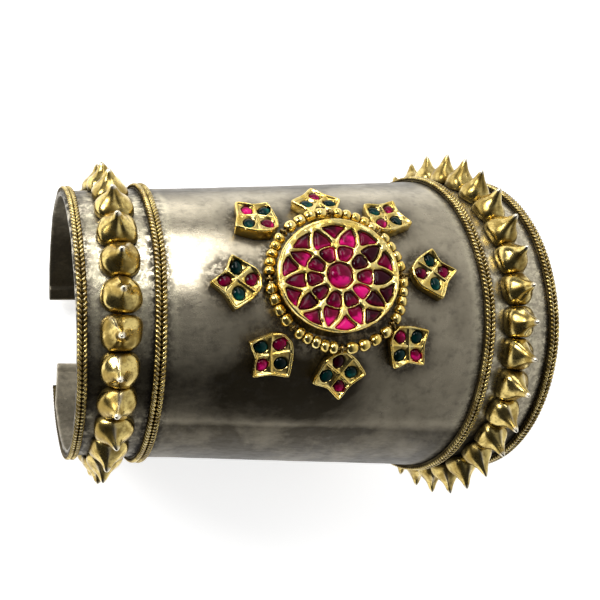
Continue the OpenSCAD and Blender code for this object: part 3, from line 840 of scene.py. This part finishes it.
def medallion_pieces(gold, ruby):
    """The medallion's box, with a cell for every stone, and its four pieces of stones."""
    matrix = on_cuff(MEDAL_AT, MEDAL_ANG)
    count = len(SPOKES)
    gaps = [(SPOKES[(i + 1) % count] - SPOKES[i]) % 360 for i in range(count)]
    between = [(SPOKES[i] + gaps[i] / 2, gaps[i] * count / 360) for i in range(count)]
    on_spoke = [(SPOKES[i], (gaps[i - 1] + gaps[i]) * count / 720) for i in range(count)]
    inner = [cell_loop(INNER_CELL, place, 0.2, 10 + i) for i, place in enumerate(between)]
    middle = [cell_loop(MIDDLE_CELL, place, 0.1, 30 + i) for i, place in enumerate(between)]
    rim = [cell_loop(RIM_CELL, place, 0.1, 50 + i) for i, place in enumerate(on_spoke)]
    sides = 150
    spin = np.arange(sides) * 2 * math.pi / sides
    circle = np.stack([np.cos(spin), np.sin(spin)], 1)
    outline = on_oval(circle * (MEDAL_R - 0.1))
    middle_point = on_oval([(0, -TRACERY_DROP / 2)])
    centre = middle_point + circle[::4] * (CABOCHON_R + 0.05)
    holes = inner + middle + rim + [centre]
    ridge = lerp_profile([(0, -0.46), (0.06, -0.36), (0.16, -0.20), (0.28, -0.04), (0.42, 0.07),
                          (0.6, 0.12), (0.9, 0.02), (1.5, -0.04)])
    lip = lerp_profile([(0, -0.20), (0.06, -0.06), (0.2, 0.06), (0.42, 0.06), (0.62, -0.02), (12, 0.0)])
    waves = (0.07, 0.5, 5)

    def height(near, edge, _):
        return MEDAL_H + ridge(near) + lip(edge)

    top, tris = plate(outline, holes, height, 0.42, (0.06, 0.16, 0.28, 0.42), (0.06, 0.2, 0.42, 0.62))
    top[:, 2] += uneven(top[:, :2], *waves)
    parts = Parts()
    near = nearest(top[:, :2], holes)
    # Painted shade round the holes of the stones
    parts.add(top, tris, recess=np.clip(0.9 - near / 0.19, 0, 0.9))
    for hole in holes:
        add_cell(parts, hole, MEDAL_H - 0.42 + uneven(hole, *waves), MEDAL_H - CELL_DEPTH)
    # The side, one row for each step down: how far in it sits, depth under the top, how dark it is with
    # painted shade, most in the groove under the lip
    wall = [(0.1, 0.22, 0), (0.0, 0.36, 0), (0.0, 0.66, 0), (0.10, 0.84, 0.1), (0.42, 0.94, 0.85),
            (0.46, 1.08, 0.9), (0.34, 1.2, 0.4), (0.28, 1.4, 0), (0.34, 1.75, 0), (0.5, 2.2, 0.1),
            (0.6, 3.0, 0.2)]
    rings = [lifted(on_oval(circle * (MEDAL_R - inset)), MEDAL_H - depth) for inset, depth, _ in wall]
    rings[0][:, 2] += uneven(rings[0][:, :2], *waves)
    foot = on_oval(circle * (MEDAL_R - 0.6))
    r = float(surf_r(MEDAL_AT))
    rings.append(lifted(foot, np.sqrt(r * r - foot[:, 1] ** 2) - r + 0.08))
    faces = [f[::-1] for f in ring_faces(len(rings), sides)]
    # Painted shade at the foot as well
    dark = np.repeat([row[2] for row in wall] + [0.7], sides)
    parts.add(np.concatenate(rings), faces, recess=dark)
    points, faces, values = parts.done()
    make_piece("medallion_box", points, faces, matrix, gold, ["medallion_setting"], values)
    spread = middle_point + circle[::3] * CABOCHON_R
    for name, node, loops, table, sunk, tones in (
            ("centre_cabochon", "centre_ruby", [spread], DOME, 0, [0.15]),
            ("inner_stones", "inner_rubies", inner, CABOCHON, 0.12, INNER_TONES),
            ("middle_stones", "middle_rubies", middle, CUT, 0.2, MIDDLE_TONES),
            ("rim_stones", "rim_rubies", rim, CUT, 0.2, RIM_TONES)):
        stones_piece(name, node, loops, table, matrix, MEDAL_H - sunk, ruby, tones)


def bead_piece(gold):
    """Thirty-six barrel-shaped beads on the wire, uneven as if hammered, with painted shade at both ends.
    """
    matrix = on_cuff(MEDAL_AT, MEDAL_ANG)
    parts = Parts()
    for group, count in enumerate(BEAD_GROUPS):
        start = link_turn(group)
        sector = math.radians((link_turn(group + 1) - start) % 360) * BEAD_RING_R
        pitch = (sector - LINK_ROOM) / count
        for i in range(count):
            pick = np.random.default_rng(group * 10 + i)
            turn = start + math.degrees((LINK_ROOM / 2 + (i + 0.5) * pitch) / BEAD_RING_R)
            size = min(pitch - 0.04, 2.4) / 2
            level = np.linspace(0.12, math.pi - 0.12, 11)
            fat = 1.20 + 0.05 * math.cos(math.radians(turn - 200))
            profile = [(fat * math.sin(t) ** 0.5, -size * math.cos(t)) for t in level]
            shell, faces = turned_shell(profile, 18)
            shell[:, :2] *= 1 + wobble(shell, 0.10, 1.1, group * 10 + i)[:, None]
            place = (BEAD_RING_R + pick.normal(0, 0.05), 0, BEAD_Z + pick.normal(0, 0.05))
            spot = (Matrix.Rotation(math.radians(turn), 4, "Z") @ Matrix.Translation(place)
                    @ Matrix.Rotation(math.radians(90 + pick.normal(0, 5)), 4, "X"))
            # Painted shade at both ends of each bead, where it meets the next
            ends = np.clip((np.abs(shell[:, 2]) / size - 0.82) / 0.18, 0, 1)
            parts.add(moved(shell, spot), faces, recess=0.9 * ends)
    points, faces, values = parts.done()
    make_piece("gold_beads", points, faces, matrix, gold, ["bead_ring"], values)


def petal_stone_loop(row, pick):
    """A roughly oval stone, a little uneven and pointed."""
    x, y, length, width = row
    corners = 14
    turn = np.arange(corners) * 2 * math.pi / corners
    reach = 1 + 0.06 * np.cos(2 * turn + pick.uniform(0, 6.3)) + pick.normal(0, 0.035, corners)
    loop = np.stack([x + length / 2 * reach * np.cos(turn), y + width / 2 * reach * np.sin(turn)], 1)
    return resampled(chaikin(loop, 2), 30)


def petal_pieces(number, gold, ruby, emerald):
    """One petal: a box with a raised rim and a raised cross, and four sunk stones."""
    at, ang, turn = PETALS[number - 1]
    matrix = on_cuff(at, ang, turn)
    pick = np.random.default_rng(200 + number)
    bend = PETAL_BENDS[number - 1]
    outline = np.array(PETAL_OUTLINE)
    outline[:, 0] += bend * np.sign(outline[:, 1]) * (np.abs(outline[:, 1]) > 5) * 0.3
    outline[:, 1] += bend * grade(np.abs(outline[:, 1]), 5.8)
    outline = outline + pick.normal(0, 0.16, outline.shape)
    outline = resampled(chaikin(chaikin(outline, 1, 0.10), 1), 130)
    stones = {key: petal_stone_loop(row, pick) for key, row in PETAL_STONES.items()}
    holes = list(stones.values())
    notches = np.array(PETAL_NOTCHES) + pick.normal(0, 0.15, (4, 2))
    middle = pick.normal(0, 0.15, 2)
    bed = lerp_profile([(0, -0.50), (0.1, -0.40), (0.22, -0.32), (0.4, -0.30), (3, -0.30)])
    rim = lerp_profile([(0, 0.10), (0.08, 0.30), (0.2, 0.42), (0.36, 0.40), (0.5, 0.22),
                        (0.62, 0.04), (0.72, 0.0), (9, 0.0)])

    def cross(p):
        """Distance from the raised cross."""
        gaps = []
        for notch in notches:
            line = notch - middle
            share = np.clip((p - middle) @ line / (line @ line), 0, 1)
            gaps.append(np.linalg.norm(p - middle - share[:, None] * line, axis=1))
        return np.min(gaps, axis=0)

    level = PETAL_H - 0.12
    waves = (0.16, 0.4, number + 20)

    def height(near, edge, p):
        line = 0.34 * bell(cross(p), 0.24)
        return level + bed(near) + np.maximum(rim(edge), line)

    top, tris = plate(outline, holes, height, 0.22, (0.1, 0.22, 0.4), (0.08, 0.2, 0.36, 0.5, 0.62))
    top[:, 2] += uneven(top[:, :2], *waves)
    near = nearest(top[:, :2], holes)
    parts = Parts()
    # Painted shade round the stones and in the low parts of the top
    low = np.clip((level - 0.12 - top[:, 2]) / 0.2, 0, 0.35)
    parts.add(top, tris, recess=np.maximum(np.clip(0.85 - near / 0.3, 0, 0.85), low))
    for hole in holes:
        add_cell(parts, hole, level - 0.50 + uneven(hole, *waves), level - CELL_DEPTH)
    turn_back = math.radians(turn)
    r_here = float(surf_r(at))

    def sheet_z(p):
        across = p[:, 0] * math.sin(turn_back) + p[:, 1] * math.cos(turn_back)
        return np.sqrt(r_here ** 2 - across ** 2) - r_here + CLEAR

    n = outward(outline)
    belly, foot = outline + n * 0.05, outline - n * 0.10
    rows = [(outline, level - 0.20 + uneven(outline, *waves)), (belly, level - 0.42),
            (belly - n * 0.08, 0.55 * (level - 0.6) + 0.45 * sheet_z(belly)),
            (foot, sheet_z(foot) + 0.06), (foot, sheet_z(foot))]
    side = np.concatenate([lifted(loop, z) for loop, z in rows])
    faces = [f[::-1] for f in ring_faces(len(rows), len(outline))]
    # Painted shade down the side towards the sheet
    parts.add(side, faces, recess=np.repeat([0.0, 0.0, 0.15, 0.6, 0.9], len(outline)))
    points, faces, values = parts.done()
    name = f"petal_{number}_"
    make_piece(name + "box", points, faces, matrix, gold, [name + "setting"], values)
    for key, loop in stones.items():
        material, slot = (ruby, "ruby") if "ruby" in key else (emerald, "emerald")
        # Each petal stone's painted light is raised or lowered a little at random
        stones_piece(name + key + "_stone", name + key, [loop], CABOCHON, matrix, level - 0.42,
                     material, [pick.normal(-0.1, 0.2)])


# The scene round the cuff

def add_camera():
    """A camera where the photo was taken from, with its angle of view."""
    c, s = math.cos(math.radians(CAMERA_ANG)), math.sin(math.radians(CAMERA_ANG))
    along, towards, up = Vector((1, 0, 0)), Vector((0, s, c)), Vector((0, c, -s))
    yaw, roll = math.radians(CAMERA_YAW), math.radians(CAMERA_ROLL)
    ahead = math.sin(yaw) * along - math.cos(yaw) * towards
    right = math.cos(yaw) * along + math.sin(yaw) * towards
    place = Vector((CAMERA_AT - CUFF_LEN / 2, 0, 0)) + CAMERA_REACH * towards + CAMERA_LIFT * up
    c, s = math.cos(roll), math.sin(roll)
    right, up = c * right + s * up, c * up - s * right
    turn = REST.to_3x3().normalized()
    matrix = Matrix((turn @ right, turn @ up, turn @ -ahead)).transposed().to_4x4()
    matrix.translation = REST @ place
    data = bpy.data.cameras.new("camera")
    data.sensor_width = 36
    data.lens = FOCAL_SHARE * data.sensor_width
    data.clip_start = 0.01
    camera = bpy.data.objects.new("camera", data)
    camera.matrix_world = matrix
    bpy.context.scene.collection.objects.link(camera)
    bpy.context.scene.camera = camera


def add_area_light(name, place, target, size, power):
    """A soft rectangular light at place, turned to target."""
    data = bpy.data.lights.new(name, "AREA")
    data.shape = "RECTANGLE"
    data.size, data.size_y = size
    data.energy = power
    light = bpy.data.objects.new(name, data)
    light.location = place
    light.rotation_euler = (Vector(target) - Vector(place)).to_track_quat("-Z", "Y").to_euler()
    bpy.context.scene.collection.objects.link(light)


def add_world():
    """A dim studio, brighter towards +X and +Y and nearly dark towards -X and -Y."""
    world = bpy.data.worlds.new("studio")
    bpy.context.scene.world = world
    world.use_nodes = True
    tree = world.node_tree
    coords = tree.nodes.new("ShaderNodeTexCoord")
    slope_node = tree.nodes.new("ShaderNodeVectorMath")
    slope_node.operation = "DOT_PRODUCT"
    slope_node.inputs[1].default_value = (0.70, 0.24, 0.0)
    tree.links.new(coords.outputs["Generated"], slope_node.inputs[0])
    ramp = tree.nodes.new("ShaderNodeMapRange")
    tree.links.new(slope_node.outputs["Value"], ramp.inputs["Value"])
    for key, number in (("From Min", -0.20), ("From Max", 0.80), ("To Min", 0.03), ("To Max", 1.10)):
        ramp.inputs[key].default_value = number
    tree.links.new(ramp.outputs["Result"], tree.nodes["Background"].inputs["Color"])


def add_floor():
    """A plain pale floor under the cuff."""
    half = 1.5
    corners = [(-half, -half, 0), (half, -half, 0), (half, half, 0), (-half, half, 0)]
    mesh = bpy.data.meshes.new("floor")
    mesh.from_pydata(corners, [], [(0, 1, 2, 3)])
    material, n, shader = new_material("floor", 0.0, 0.7)
    tone = n.mix(n.noise(6, 2), (0.93, 0.93, 0.93), (0.90, 0.90, 0.895))
    n.link(tone, shader.inputs["Base Color"])
    shader.inputs["Emission Color"].default_value = (1, 1, 1, 1)
    shader.inputs["Emission Strength"].default_value = 0.72
    mesh.materials.append(material)
    floor = bpy.data.objects.new("floor", mesh)
    bpy.context.scene.collection.objects.link(floor)


def finish_kept_nodes(metal):
    """The wire and the links stay as the frame's own solids, in darkened gold."""
    for name in ("bead_wire", "petal_links"):
        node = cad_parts[name]
        node.data.materials.clear()
        node.data.materials.append(metal)
        node.data.polygons.foreach_set("use_smooth", [True] * len(node.data.polygons))


bpy.context.scene.view_settings.view_transform = "Standard"
add_camera()
add_world()
add_floor()
for name, row in LIGHTS.items():
    add_area_light(name, *row)

silver, gilt = silver_material(), gilt_material()
gold = gold_material("gold", (1.0, 0.82, 0.33), (0.88, 0.62, 0.14))
old_gold = gold_material("old_gold", (0.34, 0.24, 0.09), (0.20, 0.13, 0.04))
# Stone colours: dark, middle, and the bright colour of their painted light
ruby = gem_material("ruby", (0.026, 0.0, 0.005), (0.18, 0.0, 0.028), (0.86, 0.01, 0.22))
emerald = gem_material("emerald", (0.0, 0.005, 0.004), (0.0, 0.024, 0.022), (0.01, 0.13, 0.10))

sheet_piece(silver)
for node, row in BRAIDS.items():
    braid_piece(node, row, gilt)
for node, row in STUD_ROWS.items():
    stud_row_piece(node, row, gilt)
medallion_pieces(gold, ruby)
bead_piece(gold)
for number in range(1, len(PETALS) + 1):
    petal_pieces(number, gold, ruby, emerald)
finish_kept_nodes(old_gold)
